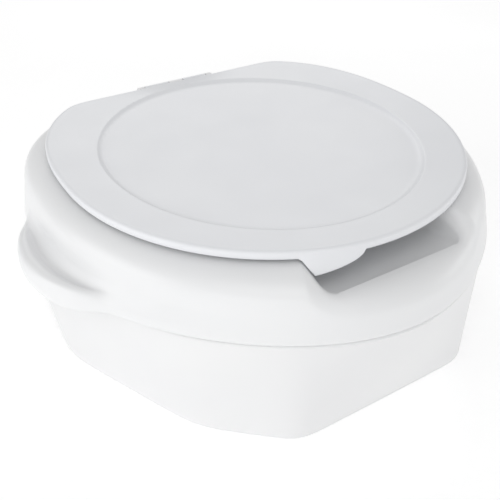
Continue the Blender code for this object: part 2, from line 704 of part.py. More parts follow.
def build_buffers(rubber):
    for word, (degrees, radius) in BUFFER_SPOTS.items():
        top = min(lid_under_z(degrees, radius + shift) for shift in (-BUFFER_R, 0.0, BUFFER_R)) - GAP
        buffer = bmesh.new()
        foot = CREST_Z + GAP
        add_turned(buffer, [(BUFFER_R * 0.62, foot), (BUFFER_R * 0.82, foot + 0.0008),
                            (BUFFER_R, top - 0.0012), (BUFFER_R, top)], ROUND, seat_frame(degrees, radius))
        finish_object(f"lid_buffer_{word}", buffer, rubber, 35.0)


# ---------------------------------------------------------------- clamps, pads and screws
def build_clamp(word, degrees, plastic, steel, rubber):
    """One clamp: a bracket that slides on a bolt under the ledge, a knob that locks it, a rubber face."""
    place = seat_frame(degrees, CLAMP_BOLT_R)
    top = LEDGE_Z - GAP
    half = BRACKET_WIDTH / 2.0
    slot_end = SLOT_HALF
    leg = (BRACKET_LEG, BRACKET_LEG + BRACKET_PLATE)
    bracket = bmesh.new()
    add_cells(bracket, (BRACKET_INNER, slot_end, leg[0], leg[1]), (-half, -SLOT_HALF, SLOT_HALF, half),
              (top - BRACKET_DROP, top - BRACKET_PLATE, top),
              {(0, 0, 1), (0, 2, 1), (1, 0, 1), (1, 1, 1), (1, 2, 1), (2, 0, 1), (2, 1, 1), (2, 2, 1),
               (2, 0, 0), (2, 1, 0), (2, 2, 0)})
    made = finish_object(f"clamp_bracket_{word}", bracket, plastic)
    made.matrix_world = place
    add_bevel(made, 0.0008)

    face = bmesh.new()
    add_box(face, (leg[1] + GAP, -half + 0.0020, top - BRACKET_DROP + 0.0020),
            (leg[1] + GAP + 0.0024, half - 0.0020, top - 0.0060))
    made = finish_object(f"clamp_face_{word}", face, rubber)
    made.matrix_world = place
    add_bevel(made, 0.0007)

    bolt = bmesh.new()
    head = LEDGE_Z + LEDGE + GAP
    low = top - BRACKET_PLATE - KNOB_HEIGHT + 0.0020
    add_turned(bolt, [(BOLT - 0.0006, low), (BOLT, low + 0.0008), (BOLT, head), (0.0056, head),
                      (0.0056, head + 0.0030), (0.0048, head + 0.0038)], ROUND, place)
    finish_object(f"clamp_bolt_{word}", bolt, steel, 35.0)

    knob = build_knob(plastic, f"clamp_knob_{word}")
    knob.matrix_world = place @ Matrix.Translation((0.0, 0.0, top - BRACKET_PLATE - GAP))


def build_knob(plastic, name):
    """Lobed hand knob, open at the top for the bolt, hanging below its own origin."""
    sides = KNOB_LOBES * 4
    bore = BOLT + GAP
    collar = 0.0062
    profile = [(bore, -KNOB_HEIGHT + 0.0014, 0.0), (bore, 0.0, 0.0), (collar, 0.0, 0.0),
               (collar, -0.0020, 0.0), (KNOB_R, -0.0030, 0.16), (KNOB_R, -KNOB_HEIGHT + 0.0010, 0.16),
               (KNOB_R - 0.0010, -KNOB_HEIGHT, 0.16)]
    mesh_data = bmesh.new()
    rings = []
    for radius, z, lobe in profile:
        ring = []
        for step in range(sides):
            turn = 2.0 * math.pi * step / sides
            size = radius * (1.0 - lobe * (0.5 - 0.5 * math.cos(KNOB_LOBES * turn)))
            ring.append(mesh_data.verts.new((size * math.cos(turn), size * math.sin(turn), z)))
        rings.append(ring)
    for first, second in zip(rings, rings[1:]):
        for step in range(sides):
            after = (step + 1) % sides
            mesh_data.faces.new((first[step], first[after], second[after], second[step]))
    mesh_data.faces.new(rings[0])
    mesh_data.faces.new(rings[-1])
    return finish_object(name, mesh_data, plastic, 35.0)


def build_rim_pads(rubber):
    for word, (degrees, radius) in RIM_PADS.items():
        pad = bmesh.new()
        long_side, short_side = RIM_PAD_SIZE
        add_box(pad, (-short_side / 2.0, -long_side / 2.0, LEDGE_Z - GAP - PAD_THICKNESS),
                (short_side / 2.0, long_side / 2.0, LEDGE_Z - GAP))
        made = finish_object(f"rim_pad_{word}", pad, rubber)
        made.matrix_world = seat_frame(degrees, radius)
        add_bevel(made, 0.0008)


def build_shell_screws(steel):
    for number, degrees in enumerate(RIB_ANGLES, start=1):
        place = seat_frame(degrees, shell_outline(math.radians(degrees)) - BOSS_INSET)
        screw = bmesh.new()
        head = LEDGE_Z - GAP
        add_turned(screw, [(0.0020, head - 0.0024), (0.0034, head - 0.0018), (0.0037, head), (SCREW, head),
                           (SCREW, head + 0.0150), (SCREW * 0.5, head + 0.0165)], ROUND, place)
        finish_object(f"shell_screw_{number}", screw, steel, 35.0)


def main():
    clear_scene()
    white = make_material("white_plastic", (0.88, 0.88, 0.885), 0.32)
    lid_white = make_material("lid_plastic", (0.87, 0.87, 0.88), 0.30)
    clamp_white = make_material("clamp_plastic", (0.82, 0.82, 0.80), 0.40)
    rubber = make_material("grey_rubber", (0.30, 0.30, 0.31), 0.80)
    steel = make_material("steel", (0.62, 0.62, 0.63), 0.28, 1.0)
    guide = make_material("guide", (0.9, 0.4, 0.1), 0.5)
    build_shell(white, guide)
    build_skirt(white, guide)
    build_lid(lid_white, guide)
    build_hinge(white, steel, guide)
    build_buffers(rubber)
    for word, degrees in CLAMP_ANGLES.items():
        build_clamp(word, degrees, clamp_white, steel, rubber)
    build_rim_pads(rubber)
    build_shell_screws(steel)


main()
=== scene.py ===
"""Looks of the raised toilet seat: fine moulded surfaces, materials, camera and studio light.

Metres, +Z up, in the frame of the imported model. -Y is the front of the seat. Angles round the
seat start at the front and turn towards +X, about a centre that lies CENTRE_Y behind the origin.
"""

import math

import bmesh
import bpy
from mathutils import Matrix, Vector


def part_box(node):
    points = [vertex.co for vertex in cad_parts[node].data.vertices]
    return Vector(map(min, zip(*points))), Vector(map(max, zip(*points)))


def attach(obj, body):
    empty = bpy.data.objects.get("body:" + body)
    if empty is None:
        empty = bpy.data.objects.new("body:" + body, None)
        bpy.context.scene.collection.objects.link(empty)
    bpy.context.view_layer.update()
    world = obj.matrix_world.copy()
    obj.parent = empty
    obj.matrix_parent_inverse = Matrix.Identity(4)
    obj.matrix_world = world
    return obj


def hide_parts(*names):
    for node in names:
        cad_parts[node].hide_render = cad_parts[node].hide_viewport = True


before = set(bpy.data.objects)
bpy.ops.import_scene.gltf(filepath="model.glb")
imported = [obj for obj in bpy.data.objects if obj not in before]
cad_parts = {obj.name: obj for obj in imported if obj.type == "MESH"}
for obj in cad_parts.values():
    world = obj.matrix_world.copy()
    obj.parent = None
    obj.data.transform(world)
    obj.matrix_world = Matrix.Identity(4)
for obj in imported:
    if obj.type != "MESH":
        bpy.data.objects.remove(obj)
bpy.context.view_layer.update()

# ---------------------------------------------------------------- heights and outlines
CENTRE_Y = 0.0145
GAP = 0.0003                # clearance between pieces that touch

SEAM_Z = 0.0978             # step line, where the shell meets the skirt
CREST_Z = 0.1510            # top of the seat
LID_RIM_Z = 0.1610          # top of the shut lid
DISH_EDGE_Z = 0.1580
LEDGE_Z = 0.0500            # underside of the ledge that rests on the bowl

WALL = 0.0040
STEP = 0.0018               # how far the skirt lies inside the shell at the step line
EDGE_ROUND = 0.0040         # rounding where the two mouldings meet
EDGE_DEPTH = 0.9            # depth of the shell's rounding, as a share of a full quarter circle

SHELL_HALF_WIDTH = 0.2060
SHELL_FRONT = 0.2250
SHELL_BACK = 0.1960
SHELL_FRONT_POWER = 1.86
SHELL_BACK_POWER = 2.8
SHELL_DRAFT = 0.0055
SHOULDER_Z = 0.1300
CREST_SHARE = 0.52          # where the crest lies, from the opening to the outside
SHOULDER_POWERS = (2.3, 3.3)    # squareness of the shoulder at the front and at the back
SHOULDER_BLEND = 1.2        # how soon the front shape gives way to the rear one

HOLE_HALF_WIDTH = 0.0980
HOLE_FRONT = 0.1300
HOLE_BACK = 0.1150
HOLE_ROLL = 0.0140          # how far the seat rolls down into the opening
SPLASH_SHRINK = 0.95        # size of the splash wall's foot, as a share of the opening
SPLASH_Z = 0.0380           # lower edge of the splash wall

RECESS_TOP_X = 0.0850       # half width of the recess at the top of its flanks
RECESS_FLOOR_X = 0.0480     # and at its floor
RECESS_ANGLE = math.radians(32.0)
RECESS_EDGE = 0.1400
RECESS_CREST = 0.1950
RECESS_CREST_Z = 0.1325
RECESS_SHOULDER_Z = 0.1165
RECESS_DROP = 0.0170        # from the top of the lip down to the opening
RECESS_BENDS = (3.0, 1.2)   # steep just behind a narrow crest, then flatter
RECESS_EASE = 2.2           # how quickly a flank falls from its top

GRIP_CENTRE_Y = -0.0150
GRIP_LENGTHS = (0.0740, 0.0820)     # from its centre to its front end and its rear end
GRIP_TAIL = (0.55, 0.1900)  # the low tail towards the front: share of the reach, and length
GRIP_POWERS = (2.2, 1.5)    # bluntness of the grip's lobe, and softness of its ends and its tail
GRIP_REACH = 0.0240         # how far the grip stands out from the shell
GRIP_ENDS = (math.radians(58.0), math.radians(118.0))
# the grip's section, bottom edge first, as (share of reach, rise): a lip outside a shallow trough
GRIP_LIP = ((0.90, -0.0070), (1.00, 0.0040), (0.93, 0.0140), (0.66, 0.0155), (0.34, 0.0115),
            (0.05, 0.0180), (0.0, 0.0250), (0.0, 0.0319))
GRIP_BLEND = 1.4            # how soon the band takes on the grip's own heights
GRIP_START = 0.2            # and the share of the reach at which it begins
GRIP_WALL = 0.0022
GRIP_THINNING = 4.0         # how soon the wall thins beside a grip

# the skirt's flat faces at the floor, as (direction in degrees, distance from the centre)
SKIRT_FACES = ((0.0, 0.2000), (41.8, 0.2072), (67.4, 0.1935), (96.0, 0.2030),
               (138.0, 0.2090), (180.0, 0.1870))
SKIRT_ROUNDING = 48.0       # the higher, the sharper its corners
TONGUE = 0.0080             # height of the skirt's tongue inside the shell
TONGUE_INSET = WALL + 0.0028
TONGUE_WALL = 0.7 * WALL
TONGUE_ROOT = 1.7 * WALL
LEDGE = 0.0040
TIP_GAP = 0.0036            # between the ledge and the splash wall
TIP_ROUND = 0.0010
FOOT_ROUND = 0.0012
CORNER = 0.0008             # small chamfer on the skirt's inner edges
FILLET = 0.0040             # slope in the corner above the ledge
LOW_FILLET = (0.0030, 0.0022)

LID_HALF_WIDTH = 0.1800
LID_FRONT = 0.1895
LID_BACK = 0.1850
LID_BACK_POWER = 2.5
LID_BACK_EDGE = 0.1570      # the straight back edge, behind the centre
LID_CORNER_POWER = 60.0
LID_RIM = 0.0070            # height of the rim
LID_WALL = 0.0032
DISH_HALF_WIDTH = 0.1432
DISH_FRONT = 0.1575
DISH_BACK = 0.1497
DISH_STEP = 0.0026          # depth of the dish at its edge
DISH_DEPTH = 0.0080         # and in its middle
DISH_ROUND = 0.0008
DISH_LIP = 0.0003
RIM_WALL = 0.0070           # width of the rim's underside
RIM_ROUND = (0.0030, 0.0026)        # reach and height of the rounding on top of the rim
RIM_LOW_ROUND = (0.0016, 0.0018)    # and below it
TAB_X = (-0.0750, -0.0290)  # left and right end of the lift tab
TAB_RAMP = 0.0090           # width of its slanted left end
TAB_REACH = 0.0060
TAB_DROP = 0.0135
TAB_POWER = 0.5

# ---------------------------------------------------------------- hinge, clamps, pads and screws
HINGE_Y = CENTRE_Y + 0.1620
HINGE_Z = 0.1556
BARREL = 0.0042
PIN = 0.0020
BORE = 0.0021
TUBE_BEVEL = 0.0005
EAR_X = (0.0365, 0.0435)    # the bracket's outer lug on the right
KNUCKLE_X = (0.0085, 0.0360)    # the lid's knuckle on the right
KNUCKLE_TONGUE = (0.0110, 0.0022)   # its reach into the lid's rim, and half its height
CENTRE_LUG_X = 0.0080
FOOT_Y = (HINGE_Y - 0.0046, HINGE_Y + 0.0050, HINGE_Y + 0.0090)
FOOT_X = 0.0600
PLATE_Z = (CREST_Z + GAP, CREST_Z + 0.0024)
HINGE_SCREW_X = 0.0520
HINGE_SCREW_Y = HINGE_Y + 0.0022

CLAMP_ANGLES = {"front_left": -49.0, "front_right": 49.0, "rear_left": -136.0, "rear_right": 136.0}
CLAMP_BOLT_R = 0.1310
BRACKET_WIDTH = 0.0240
BRACKET_PLATE = 0.0030
BRACKET_INNER = -0.0185     # inner end of the plate, from the bolt
BRACKET_LEG = 0.0105        # inner face of the leg, from the bolt
BRACKET_DROP = 0.0360
SLOT_HALF = 0.0034
FACE_BASE = 0.0016          # plain part of a clamp's rubber face
FACE_DEPTH = 0.0024         # with its ridges
FACE_RIDGES = 7
BOLT = 0.0030
BOLT_HEAD = 0.0056
BOLT_HEAD_HEIGHT = 0.0038
KNOB_R = 0.0088
KNOB_HEIGHT = 0.0120
KNOB_LOBES = 5
KNOB_LOBE_DEPTH = 0.16      # share of the radius
KNOB_COLLAR = 0.0062
KNOB_COLLAR_HEIGHT = 0.0022

PAD_THICKNESS = 0.0030
PAD_BASE = 0.7              # plain part of a rim pad, as a share of its thickness
PAD_RIDGES = 6
PAD_RIDGE_HALF = 0.0013
RIM_PADS = {"front": (0.0, 0.1760), "left": (-90.0, 0.1640), "right": (90.0, 0.1640), "rear": (180.0, 0.1580)}
RIM_PAD_SIZE = (0.0560, 0.0260)

RIB_ANGLES = (-40.0, 40.0, -106.0, 106.0, -152.0, 152.0)
RIB_INSET = (0.0070, 0.0180, 0.0400)    # arm's outer end, arm's inner end and rib's inner end
RIB_HALF = 0.0020
RIB_TOP = CREST_Z - 0.0150
RIB_ARM_Z = (SEAM_Z + TONGUE + 0.0010, SHOULDER_Z - 0.0060)
BOSS_INSET = 0.0280
BOSS = 0.0048
BOSS_HEIGHT = 0.0180
BOSS_ROUND = 0.0008
SCREW = 0.0018              # radius of a screw's shank

BUFFER_SPOTS = {"front_left": (-50.0, 0.1620), "front_right": (50.0, 0.1620),
                "rear_left": (-128.0, 0.1610), "rear_right": (128.0, 0.1610)}
BUFFER_R = 0.0065
# a buffer's side, foot first, as (share of its radius, height above the foot)
BUFFER_SIDE = ((0.50, 0.0), (0.68, 0.0002), (0.78, 0.0006), (0.84, 0.0012))

# ---------------------------------------------------------------- resolution
TINY = 1e-9
RING_STEPS = 200            # sections in half a turn
RING_PARTS = 7200           # places in half a turn that a section can take
RECESS_CROWDING = 1.6       # extra sections across the recess, and a little past it
RECESS_SPREAD = 1.15
GRIP_CROWDING = 0.5         # extra sections along a grip
BAND_SHARES = [0.0, 0.008, 0.02, 0.04] + [0.07 + 0.93 * step / 26 for step in range(26)]
SHOULDER_STEPS = 16
ROLL_STEPS = 14
SPLASH_STEPS = 8
SKIRT_STEPS = 16
LID_STEPS = 420
DISH_SHARES = (0.06, 0.14, 0.24, 0.35, 0.46, 0.57, 0.67, 0.76, 0.84, 0.90, 0.94, 0.965)
UNDER_SHARES = (0.95, 0.88, 0.76, 0.60, 0.42, 0.22)
FINE = 48                   # sides of a turned piece
MOULDING_ANGLE = 50.0       # edges sharper than this, in degrees, are shaded as edges
LID_ANGLE = 38.0
SMALL_PART_ANGLE = 40.0

# ---------------------------------------------------------------- camera and light
UNIT = 0.185                # the lens was fitted in units of this length
CAMERA_AZIMUTH = math.radians(-32.25)
CAMERA_ELEVATION = math.radians(34.75)
CAMERA_DISTANCE = 3.434 * UNIT
CAMERA_SLIDE = (0.036 * UNIT, 0.566 * UNIT)
LENS = 50.4
SENSOR = 36.0

FLOOR_REACH = 6.0
FLOOR_GAP = 0.0004
PAPER_GLOW = 0.22           # keeps the floor paper white where the seat shades it
SKY_STRENGTH = 0.50
LIGHT_AIM = Vector((0.0, 0.0, 0.10))


# ---------------------------------------------------------------- small maths
def mix(a, b, t):
    return a + (b - a) * t


def smooth(t):
    t = min(max(t, 0.0), 1.0)
    return t * t * (3.0 - 2.0 * t)


def polar(theta, radius, z):
    return Vector((radius * math.sin(theta), CENTRE_Y - radius * math.cos(theta), z))


def oval(theta, half_width, front, back, front_power=2.0, back_power=2.0):
    """Radius of an oval whose front and back halves reach and curve differently."""
    across, along = math.sin(theta), math.cos(theta)
    reach, power = (front, front_power) if along >= 0.0 else (back, back_power)
    return (abs(across / half_width) ** power + abs(along / reach) ** power) ** (-1.0 / power)


def curve_through(points, share):
    """Point at a share of the way along a smooth curve through evenly spaced points."""
    last = len(points) - 1
    place = min(max(share, 0.0), 1.0) * last
    index = min(int(place), last - 1)
    t = place - index
    before, start = points[max(index - 1, 0)], points[index]
    end, after = points[index + 1], points[min(index + 2, last)]
    found = []
    for a, b, c, d in zip(before, start, end, after):
        found.append(0.5 * (2.0 * b + (c - a) * t + (2.0 * a - 5.0 * b + 4.0 * c - d) * t * t
                            + (3.0 * b - a - 3.0 * c + d) * t ** 3))
    return found


# ---------------------------------------------------------------- outlines
def shell_outline(theta):
    return oval(theta, SHELL_HALF_WIDTH, SHELL_FRONT, SHELL_BACK, SHELL_FRONT_POWER, SHELL_BACK_POWER)


def skirt_outline(theta):
    """Lower outline of the skirt: a many-sided figure with soft corners, alike on both sides."""
    total = 0.0
    for degrees, distance in SKIRT_FACES:
        for side in {math.radians(degrees), -math.radians(degrees)}:
            total += max(math.cos(theta - side) / distance, 0.0) ** SKIRT_ROUNDING
    return total ** (-1.0 / SKIRT_ROUNDING)


def shoulder_power(theta):
    front, back = SHOULDER_POWERS
    return mix(front, back, smooth((1.0 - math.cos(theta)) / SHOULDER_BLEND))


def recess_weight(theta, forward):
    """How far a point is into the recess, by its distance from the middle of the seat."""
    across = abs(forward * math.tan(theta)) if math.cos(theta) > 0.5 else RECESS_TOP_X
    share = min(max((RECESS_TOP_X - across) / (RECESS_TOP_X - RECESS_FLOOR_X), 0.0), 1.0)
    return smooth(1.0 - (1.0 - share) ** RECESS_EASE)


def hole_outline(theta):
    opening = oval(theta, HOLE_HALF_WIDTH, HOLE_FRONT, HOLE_BACK)
    return mix(opening, RECESS_EDGE / math.cos(theta), recess_weight(theta, RECESS_EDGE))


def splash_outline(theta):
    return SPLASH_SHRINK * oval(theta, HOLE_HALF_WIDTH, HOLE_FRONT, HOLE_BACK)


def splash_radius(theta, z):
    """Radius of the splash wall's inner face at a height."""
    edge_z = mix(CREST_Z - HOLE_ROLL, RECESS_CREST_Z - RECESS_DROP, recess_weight(theta, RECESS_EDGE))
    return mix(splash_outline(theta), hole_outline(theta), (z - SPLASH_Z) / (edge_z - SPLASH_Z))


def grip_weight(theta):
    """Share of the grip's full reach: a rounded lobe, and a low tail that runs on towards the front."""
    along = -shell_outline(theta) * math.cos(theta) - GRIP_CENTRE_Y
    bluntness, softness = GRIP_POWERS
    lobe = (1.0 - min(abs(along) / GRIP_LENGTHS[along > 0.0], 1.0) ** bluntness) ** softness
    height, length = GRIP_TAIL
    tail = height * max(1.0 + along / length, 0.0) ** softness if along < 0.0 else 0.0
    return lobe + (1.0 - lobe) * tail


def lid_outline(theta):
    body = oval(theta, LID_HALF_WIDTH, LID_FRONT, LID_BACK, 2.0, LID_BACK_POWER)
    back = max(-math.cos(theta) / LID_BACK_EDGE, 0.0)
    return ((1.0 / body) ** LID_CORNER_POWER + back ** LID_CORNER_POWER) ** (-1.0 / LID_CORNER_POWER)


def dish_outline(theta):
    return oval(theta, DISH_HALF_WIDTH, DISH_FRONT, DISH_BACK)


# ---------------------------------------------------------------- sections of the seat shell and the skirt
def edge_setback(height):
    """How far a rounded edge lies back from the plain face at a height above the edge."""
    share = 1.0 - min(height / EDGE_ROUND, 1.0)
    return EDGE_ROUND * (1.0 - math.sqrt(1.0 - share * share)) * EDGE_DEPTH


def seat_profile(theta, edge, crest, crest_z, shoulder_z, drop, bends):
    """Plain face of the seat shell over one crest, as (radius, z), from the seam to the opening's edge.

    Behind the crest it falls by the drop, and the bends say how round that fall is.
    """
    grip, outer = grip_weight(theta), shell_outline(theta)
    base = SEAM_Z + GAP
    slope = SHELL_DRAFT / (SHOULDER_Z - base)
    bend = 2.0 / shoulder_power(theta)
    face = []
    for share in BAND_SHARES:
        reach, height = curve_through(GRIP_LIP, share)
        rise = share * (shoulder_z - base)
        face.append((outer - slope * rise + GRIP_REACH * reach * grip,
                     base + mix(rise, height, smooth(GRIP_BLEND * grip - GRIP_START))))
    wall = outer - slope * (shoulder_z - base)
    for step in range(1, SHOULDER_STEPS):
        turn = math.radians(90.0 * step / SHOULDER_STEPS)
        rise = (crest_z - shoulder_z) * math.sin(turn) ** bend
        face.append((crest + (wall - crest) * math.cos(turn) ** bend - slope * rise * math.cos(turn) ** 2,
                     shoulder_z + rise))
    for step in range(ROLL_STEPS + 1):
        turn = math.radians(90.0 * (1.0 - step / ROLL_STEPS))
        face.append((edge + (crest - edge) * (1.0 - math.cos(turn) ** bends[0]),
                     crest_z - drop * (1.0 - math.sin(turn) ** bends[1])))
    return face


def shell_faces(theta):
    """The visible face as (radius, z), with its lower edge rounded, and the plain face behind it."""
    opening = oval(theta, HOLE_HALF_WIDTH, HOLE_FRONT, HOLE_BACK)
    crest = mix(opening, shell_outline(theta) - SHELL_DRAFT, CREST_SHARE)
    bends = (1.0, 2.0 / shoulder_power(theta))
    plain = seat_profile(theta, opening, crest, CREST_Z, SHOULDER_Z, HOLE_ROLL, bends)
    along = math.cos(theta)
    if along > math.cos(RECESS_ANGLE):
        cut = seat_profile(theta, RECESS_EDGE / along, RECESS_CREST / along,
                           RECESS_CREST_Z, RECESS_SHOULDER_Z, RECESS_DROP, RECESS_BENDS)
        weights = [recess_weight(theta, radius * along) for radius, _ in cut]
        plain = [(mix(above[0], below[0], weight), mix(above[1], below[1], weight))
                 for above, below, weight in zip(plain, cut, weights)]
    edge_z = plain[-1][1]
    for step in range(1, SPLASH_STEPS + 1):
        z = mix(edge_z, SPLASH_Z, step / SPLASH_STEPS)
        plain.append((splash_radius(theta, z), z))
    bottom = plain[0][1]
    face = [(radius - edge_setback(z - bottom), z) for radius, z in plain[:len(BAND_SHARES)]]
    return face + plain[len(BAND_SHARES):], plain


def shell_thickness(theta, spot):
    if spot >= len(BAND_SHARES):
        return WALL
    return mix(WALL, GRIP_WALL, smooth(GRIP_THINNING * grip_weight(theta)))


def skirt_radius(theta, z):
    return mix(skirt_outline(theta), shell_outline(theta) - STEP, z / SEAM_Z)


def ledge_tip(theta):
    """Radius of the ledge's inner edge, clear of the splash wall however that wall leans and turns."""
    top, turn = LEDGE_Z + LEDGE, math.radians(1.0)
    radius = splash_radius(theta, top)
    upward = (radius - splash_radius(theta, LEDGE_Z)) / LEDGE
    around = (splash_radius(theta + turn, top) - splash_radius(theta - turn, top)) / (2.0 * turn * radius)
    return radius + WALL * math.hypot(1.0, upward, around) + TIP_GAP


def skirt_section(theta):
    """Closed section of the skirt: outer wall, tongue, inner wall and ledge, with rounded edges."""
    foot, top = skirt_outline(theta), shell_outline(theta) - STEP
    tongue, tip = shell_outline(theta) - TONGUE_INSET, ledge_tip(theta)
    ledge_top = LEDGE_Z + LEDGE
    over, under = skirt_radius(theta, ledge_top) - WALL, skirt_radius(theta, LEDGE_Z) - WALL
    section = []
    for turn in map(math.radians, (0.0, 30.0, 60.0)):
        section.append((foot - FOOT_ROUND * (1.0 - math.sin(turn)), FOOT_ROUND * (1.0 - math.cos(turn))))
    for step in range(SKIRT_STEPS + 1):
        z = mix(FOOT_ROUND, SEAM_Z - EDGE_ROUND, step / SKIRT_STEPS)
        section.append((skirt_radius(theta, z), z))
    for turn in map(math.radians, (22.0, 45.0, 68.0, 90.0)):
        section.append((top - EDGE_ROUND * (1.0 - math.cos(turn)),
                        SEAM_Z - EDGE_ROUND * (1.0 - math.sin(turn))))
    return section + [
        (tongue, SEAM_Z),
        (tongue, SEAM_Z + TONGUE - CORNER),
        (tongue - CORNER, SEAM_Z + TONGUE),
        (tongue - TONGUE_WALL, SEAM_Z + TONGUE),
        (skirt_radius(theta, SEAM_Z) - TONGUE_ROOT, SEAM_Z - TONGUE),
        (over - CORNER, ledge_top + FILLET),
        (over - FILLET, ledge_top),
        (tip + TIP_ROUND, ledge_top),
        (tip, ledge_top - TIP_ROUND),
        (tip, LEDGE_Z + TIP_ROUND),
        (tip + TIP_ROUND, LEDGE_Z),
        (under - LOW_FILLET[0], LEDGE_Z),
        (under - CORNER, LEDGE_Z - LOW_FILLET[1]),
        (foot - WALL, FOOT_ROUND),
        (foot - WALL + FOOT_ROUND, 0.0),
    ]


# ---------------------------------------------------------------- sections of the lid
def tab_weight(theta):
    """Share of the lift tab's full drop: slanted at its left end, then falling to nothing."""
    left, right = TAB_X
    across = lid_outline(theta) * math.sin(theta)
    if math.cos(theta) < 0.0 or not left <= across <= right:
        return 0.0
    share = (across - left) / (right - left)
    return (1.0 - share) ** TAB_POWER * min((across - left) / TAB_RAMP, 1.0)


def dish_height(share):
    """Height of the dish's floor at a share of the way out from its middle."""
    return DISH_EDGE_Z - mix(DISH_DEPTH, DISH_STEP, share ** 2)


def lid_top(theta):
    """Upper face of the lid as (radius, z): dish, ring, rounded rim and the outside of the tab."""
    dish, rim, tab = dish_outline(theta), lid_outline(theta), tab_weight(theta)
    reach, height = RIM_ROUND
    face = [(dish * share, dish_height(share)) for share in DISH_SHARES]
    foot_radius, foot_z = face[-1]
    for share in (0.25, 0.5, 0.7, 0.85, 0.95):
        face.append((mix(foot_radius, dish - DISH_ROUND, share),
                     mix(foot_z, DISH_EDGE_Z - DISH_LIP, share ** 1.5)))
    face += [(dish - DISH_ROUND / 2.0, DISH_EDGE_Z - DISH_LIP / 3.0), (dish + DISH_LIP, DISH_EDGE_Z)]
    for share in (0.05, 0.12, 0.22, 0.34, 0.48, 0.62, 0.76, 0.88, 0.96):
        face.append((mix(dish, rim - reach, share), mix(DISH_EDGE_Z, LID_RIM_Z, share ** 1.2)))
    for turn in map(math.radians, (90.0, 70.0, 50.0, 30.0, 12.0)):
        face.append((rim - reach * (1.0 - math.cos(turn)), LID_RIM_Z - height * (1.0 - math.sin(turn))))
    start, end = LID_RIM_Z - reach, LID_RIM_Z - LID_RIM + RIM_LOW_ROUND[1]
    for share in (0.25, 0.5, 0.75, 1.0):
        face.append((rim + TAB_REACH * tab * share, mix(start, end, share) - TAB_DROP * tab * share))
    return face


def lid_underside(theta):
    """Lower face of the lid as (radius, z), from the tab's lower edge to the middle."""
    dish, rim, tab = dish_outline(theta), lid_outline(theta), tab_weight(theta)
    reach, height = RIM_LOW_ROUND
    low, drop = LID_RIM_Z - LID_RIM, TAB_DROP * tab
    face = []
    for turn in map(math.radians, (25.0, 55.0, 90.0)):
        face.append((rim + TAB_REACH * tab - reach * (1.0 - math.cos(turn)),
                     low - drop + height * (1.0 - math.sin(turn))))
    face += [
        (rim - 0.0026 + TAB_REACH * 0.85 * tab, low - 0.97 * drop),
        (rim - 0.0034 + TAB_REACH * 0.55 * tab, low + 0.0006 - 0.7 * drop),
        (rim - 0.0040, LID_RIM_Z - LID_WALL - 0.0012),
        (max(rim - RIM_WALL, dish + 0.0020), LID_RIM_Z - LID_WALL),
        (dish + 0.0012, DISH_EDGE_Z - LID_WALL),
    ]
    return face + [(dish * share, dish_height(share) - LID_WALL) for share in UNDER_SHARES]


# ---------------------------------------------------------------- mesh helpers
def add_piece(name, mesh_data, material, body, replaced=(), smooth_angle=SMALL_PART_ANGLE):
    """Make an object from a bmesh, shade it, and tell the frame which body it moves with."""
    bmesh.ops.recalc_face_normals(mesh_data, faces=mesh_data.faces)
    mesh = bpy.data.meshes.new(name)
    mesh_data.to_mesh(mesh)
    mesh_data.free()
    mesh.materials.append(material)
    mesh.shade_smooth()
    mesh.set_sharp_from_angle(angle=math.radians(smooth_angle))
    made = bpy.data.objects.new(name, mesh)
    bpy.context.scene.collection.objects.link(made)
    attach(made, body)
    if replaced:
        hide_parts(*replaced)


def ring_angles(half_count):
    """Section angles, alike on both sides, and closer together at the recess and the grips' ends."""
    fine = math.pi / RING_PARTS
    walk = [0.0]
    for step in range(RING_PARTS):
        angle = (step + 0.5) * fine
        at_recess = angle < RECESS_SPREAD * RECESS_ANGLE
        at_grip = GRIP_ENDS[0] < angle < GRIP_ENDS[1]
        walk.append(walk[-1] + 1.0 + RECESS_CROWDING * at_recess + GRIP_CROWDING * at_grip)
    half, step = [], 0
    for index in range(half_count + 1):
        wanted = walk[-1] * index / half_count
        while walk[step] < wanted - TINY:
            step += 1
        half.append(fine * step)
    return half + [-angle for angle in half[-2:0:-1]]


def add_skin(mesh_data, grid):
    """Add faces between rows of vertices; each row is closed, and the last row meets the first."""
    count = len(grid[0])
    for index, row in enumerate(grid):
        following = grid[(index + 1) % len(grid)]
        for spot in range(count):
            after = (spot + 1) % count
            mesh_data.faces.new((row[spot], row[after], following[after], following[spot]))


def skin_ring(rows):
    """Closed ring-shaped solid through rows of points, each row a closed section."""
    mesh_data = bmesh.new()
    add_skin(mesh_data, [[mesh_data.verts.new(point) for point in row] for row in rows])
    return mesh_data


def add_turned(mesh_data, profile, sides=FINE, place=Matrix.Identity(4), shape=None):
    """Add a solid turned about Z from (radius, z) pairs; shape(turn) scales the radius round the axis."""
    rings = []
    for radius, z in profile:
        ring = []
        for step in range(sides):
            turn = 2.0 * math.pi * step / sides
            size = radius * (shape(turn) if shape else 1.0)
            point = Vector((size * math.cos(turn), size * math.sin(turn), z))
            ring.append(mesh_data.verts.new(place @ point))
        rings.append(ring)
    for lower, upper in zip(rings, rings[1:]):
        for step in range(sides):
            after = (step + 1) % sides
            mesh_data.faces.new((lower[step], lower[after], upper[after], upper[step]))
    mesh_data.faces.new(rings[0][::-1])
    mesh_data.faces.new(rings[-1])


def add_rounded_box(mesh_data, low, high, rounding, place=Matrix.Identity(4), segments=3):
    """Add a box between two corners, with all its edges rounded."""
    middle = [(a + b) / 2.0 for a, b in zip(low, high)]
    size = [b - a for a, b in zip(low, high)]
    matrix = place @ Matrix.Translation(middle) @ Matrix.Diagonal((*size, 1.0))
    made = bmesh.ops.create_cube(mesh_data, size=1.0, matrix=matrix)
    edges = list(dict.fromkeys(edge for vert in made["verts"] for edge in vert.link_edges))
    bmesh.ops.bevel(mesh_data, geom=edges, offset=rounding, segments=segments, profile=0.5,
                    affect="EDGES", clamp_overlap=True)


